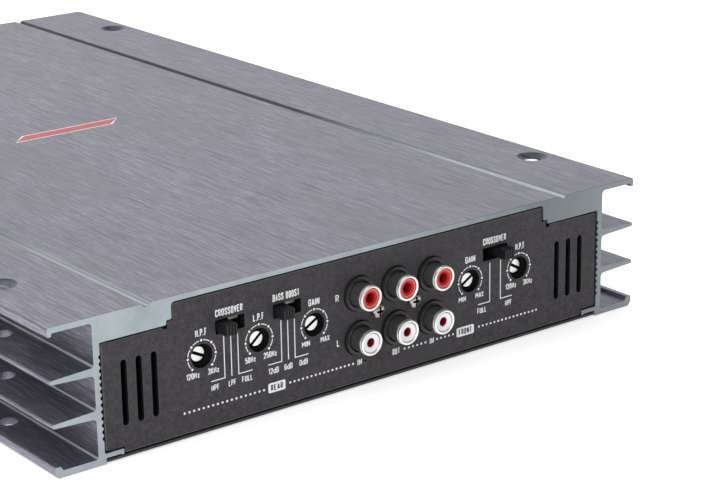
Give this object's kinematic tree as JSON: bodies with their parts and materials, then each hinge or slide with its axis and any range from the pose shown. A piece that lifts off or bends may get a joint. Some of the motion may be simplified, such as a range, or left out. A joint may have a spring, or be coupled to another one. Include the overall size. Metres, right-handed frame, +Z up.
{
  "type": "car amplifier",
  "caption": "Flat finned aluminium car audio amplifier with signal jacks, trimmers and slide switches at one end, power and speaker terminals at the other.",
  "frame": {"origin": "bottom centre of the whole object, on the plane that the feet stand on", "axes": "+X across the amplifier, +Y from the signal end to the power end, +Z up out of the top plate"},
  "size_m": [0.218, 0.357, 0.0438],
  "materials": {
    "anodised_aluminium": "brushed, anodised",
    "textured_black": "fine powder texture",
    "black_sheet": "satin",
    "circuit_board": "solder mask",
    "black_plastic": "moulded",
    "nickel": "bright plated",
    "white_plastic": "moulded",
    "red_plastic": "moulded",
    "screw_steel": "nickel plated",
    "rotor_steel": "turned",
    "switch_steel": "pressed",
    "lever_plastic": "moulded",
    "fuse_plastic": "translucent moulding",
    "lens_plastic": "clear",
    "copper_winding": "enamelled wire over a ferrite core",
    "capacitor_sleeve": "shrink sleeve",
    "transistor_case": "moulded",
    "clamp_steel": "plain"
  },
  "bodies": {
    "chassis": {"heatsink": "anodised_aluminium", "front_panel": "textured_black", "rear_panel": "textured_black", "bottom_plate": "black_sheet", "main_board": "circuit_board", "rear_control_board": "circuit_board", "front_control_board": "circuit_board", "rca_block": "black_plastic", "speaker_block": "black_plastic", "power_block": "black_plastic", "fuse_holder": "black_plastic", "rear_highpass_body": "black_plastic", "rear_lowpass_body": "black_plastic", "rear_gain_body": "black_plastic", "front_gain_body": "black_plastic", "front_highpass_body": "black_plastic", "rear_input_left_shell": "nickel", "output_left_shell": "nickel", "front_input_left_shell": "nickel", "rear_input_right_shell": "nickel", "output_right_shell": "nickel", "front_input_right_shell": "nickel", "rear_input_left_insulator": "white_plastic", "output_left_insulator": "white_plastic", "front_input_left_insulator": "white_plastic", "rear_input_right_insulator": "red_plastic", "output_right_insulator": "red_plastic", "front_input_right_insulator": "red_plastic", "jack_screw_1": "screw_steel", "jack_screw_2": "screw_steel", "power_screw_1": "screw_steel", "power_screw_2": "screw_steel", "power_screw_3": "screw_steel", "rear_crossover_housing": "switch_steel", "bass_boost_housing": "switch_steel", "front_crossover_housing": "switch_steel", "status_lens": "lens_plastic", "toroid_transformer": "copper_winding", "capacitor_1": "capacitor_sleeve", "capacitor_2": "capacitor_sleeve", "capacitor_3": "capacitor_sleeve", "capacitor_4": "capacitor_sleeve", "left_transistor_1": "transistor_case", "left_transistor_2": "transistor_case", "right_transistor_1": "transistor_case", "right_transistor_2": "transistor_case", "left_clamp_bar": "clamp_steel", "right_clamp_bar": "clamp_steel"},
    "rear_highpass_rotor": {"rear_highpass_rotor": "rotor_steel"},
    "rear_lowpass_rotor": {"rear_lowpass_rotor": "rotor_steel"},
    "rear_gain_rotor": {"rear_gain_rotor": "rotor_steel"},
    "front_gain_rotor": {"front_gain_rotor": "rotor_steel"},
    "front_highpass_rotor": {"front_highpass_rotor": "rotor_steel"},
    "rear_crossover_lever": {"rear_crossover_lever": "lever_plastic"},
    "bass_boost_lever": {"bass_boost_lever": "lever_plastic"},
    "front_crossover_lever": {"front_crossover_lever": "lever_plastic"},
    "fuse_1": {"fuse_1": "fuse_plastic"},
    "fuse_2": {"fuse_2": "fuse_plastic"},
    "fuse_3": {"fuse_3": "fuse_plastic"}
  },
  "joints": [
    {"name": "rear_highpass_turn", "type": "hinge", "parent": "chassis", "child": "rear_highpass_rotor", "pos_m": [-0.06, -0.169, 0.0238], "axis": [0, 1, 0], "range_deg": [-77, 203]},
    {"name": "rear_lowpass_turn", "type": "hinge", "parent": "chassis", "child": "rear_lowpass_rotor", "pos_m": [-0.0402, -0.169, 0.0238], "axis": [0, 1, 0], "range_deg": [-10, 270]},
    {"name": "rear_gain_turn", "type": "hinge", "parent": "chassis", "child": "rear_gain_rotor", "pos_m": [-0.0204, -0.169, 0.0238], "axis": [0, 1, 0], "range_deg": [-20, 260]},
    {"name": "front_gain_turn", "type": "hinge", "parent": "chassis", "child": "front_gain_rotor", "pos_m": [0.0396, -0.169, 0.0238], "axis": [0, 1, 0], "range_deg": [-19, 261]},
    {"name": "front_highpass_turn", "type": "hinge", "parent": "chassis", "child": "front_highpass_rotor", "pos_m": [0.0596, -0.169, 0.0238], "axis": [0, 1, 0], "range_deg": [-80, 200]},
    {"name": "rear_crossover_slide", "type": "slide", "parent": "chassis", "child": "rear_crossover_lever", "axis": [1, 0, 0], "range_m": [0, 0.0048]},
    {"name": "bass_boost_slide", "type": "slide", "parent": "chassis", "child": "bass_boost_lever", "axis": [1, 0, 0], "range_m": [0, 0.0048]},
    {"name": "front_crossover_slide", "type": "slide", "parent": "chassis", "child": "front_crossover_lever", "axis": [1, 0, 0], "range_m": [-0.0044, 0]},
    {"name": "fuse_1_pull", "type": "slide", "parent": "chassis", "child": "fuse_1", "axis": [0, 1, 0], "range_m": [0, 0.018]},
    {"name": "fuse_2_pull", "type": "slide", "parent": "chassis", "child": "fuse_2", "axis": [0, 1, 0], "range_m": [0, 0.018]},
    {"name": "fuse_3_pull", "type": "slide", "parent": "chassis", "child": "fuse_3", "axis": [0, 1, 0], "range_m": [0, 0.018]}
  ]
}
